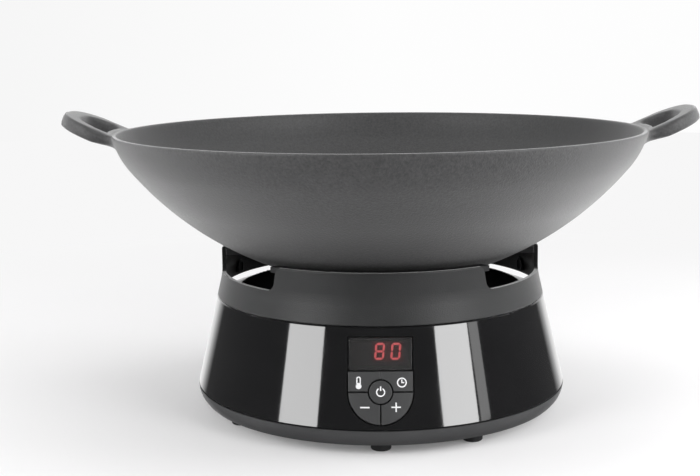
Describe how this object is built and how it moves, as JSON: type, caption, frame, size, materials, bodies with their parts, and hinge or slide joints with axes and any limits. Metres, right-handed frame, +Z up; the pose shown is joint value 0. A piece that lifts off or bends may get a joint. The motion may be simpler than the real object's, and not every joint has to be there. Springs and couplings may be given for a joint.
{
  "type": "induction cooker with wok",
  "caption": "Round countertop induction cooker: glossy conical base with key panel, notched collar over a glass plate, and a lift-off cast wok with two loop handles.",
  "frame": {"origin": "on the table, under the middle of the housing", "axes": "+Z up, the control panel faces -Y, the wok handles lie along X"},
  "size_m": [0.43, 0.36, 0.2032],
  "materials": {
    "tray_plastic": "satin dark grey moulding",
    "rubber": "matte black rubber",
    "gloss_black": "deep gloss black",
    "collar_plastic": "fine matte dark grey",
    "glass_ceramic": "polished black glass ceramic",
    "window": "smoked clear plastic",
    "key_plastic": "satin dark grey key caps with white printed signs",
    "inner_plastic": "plain moulded plastic",
    "lit_digits": "lit red segments",
    "screw_steel": "zinc plated",
    "circuit_board": "green solder mask",
    "heat_sink_aluminium": "extruded aluminium",
    "copper": "enamelled copper strand",
    "standoff_brass": "turned brass",
    "ferrite": "pressed ferrite",
    "mica": "mica paper",
    "cast_iron": "fine-grained matte grey casting"
  },
  "bodies": {
    "base": {"base_tray": "tray_plastic", "feet": "rubber", "cord_gland": "rubber", "wok_pads": "rubber", "glass_seal": "rubber", "skirt_shell": "gloss_black", "collar": "collar_plastic", "glass_plate": "glass_ceramic", "display_window": "window", "key_frame": "inner_plastic", "tact_switches": "inner_plastic", "display_module": "inner_plastic", "fan_frame": "inner_plastic", "mains_terminal": "inner_plastic", "coil_carrier": "inner_plastic", "power_transistors": "inner_plastic", "film_capacitors": "inner_plastic", "display_digits": "lit_digits", "housing_screws": "screw_steel", "frame_screws": "screw_steel", "board_screws": "screw_steel", "fan_screws": "screw_steel", "power_screws": "screw_steel", "carrier_screws": "screw_steel", "control_board": "circuit_board", "power_board": "circuit_board", "heat_sink": "heat_sink_aluminium", "induction_coil": "copper", "filter_choke": "copper", "coil_standoffs": "standoff_brass", "ferrite_bars": "ferrite", "temperature_sensor": "ferrite", "mica_sheet": "mica"},
    "wok": {"wok": "cast_iron"},
    "fan_rotor": {"fan_rotor": "inner_plastic"},
    "key_temperature": {"key_temperature": "key_plastic"},
    "key_timer": {"key_timer": "key_plastic"},
    "key_power": {"key_power": "key_plastic"},
    "key_minus": {"key_minus": "key_plastic"},
    "key_plus": {"key_plus": "key_plastic"}
  },
  "joints": [
    {"name": "wok_lift", "type": "slide", "parent": "base", "child": "wok", "axis": [0, 0, 1], "range_m": [0, 0.15]},
    {"name": "fan_spin", "type": "hinge", "parent": "base", "child": "fan_rotor", "pos_m": [0, 0.05, 0.02], "axis": [0, 0, 1], "continuous": true},
    {"name": "press_temperature", "type": "slide", "parent": "base", "child": "key_temperature", "axis": [0, 0.9724, -0.2334], "range_m": [0, 0.0008], "stiffness_N_per_m": 1000},
    {"name": "press_timer", "type": "slide", "parent": "base", "child": "key_timer", "axis": [0, 0.9724, -0.2334], "range_m": [0, 0.0008], "stiffness_N_per_m": 1000},
    {"name": "press_power", "type": "slide", "parent": "base", "child": "key_power", "axis": [0, 0.9724, -0.2334], "range_m": [0, 0.0008], "stiffness_N_per_m": 1000},
    {"name": "press_minus", "type": "slide", "parent": "base", "child": "key_minus", "axis": [0, 0.9724, -0.2334], "range_m": [0, 0.0008], "stiffness_N_per_m": 1000},
    {"name": "press_plus", "type": "slide", "parent": "base", "child": "key_plus", "axis": [0, 0.9724, -0.2334], "range_m": [0, 0.0008], "stiffness_N_per_m": 1000}
  ]
}
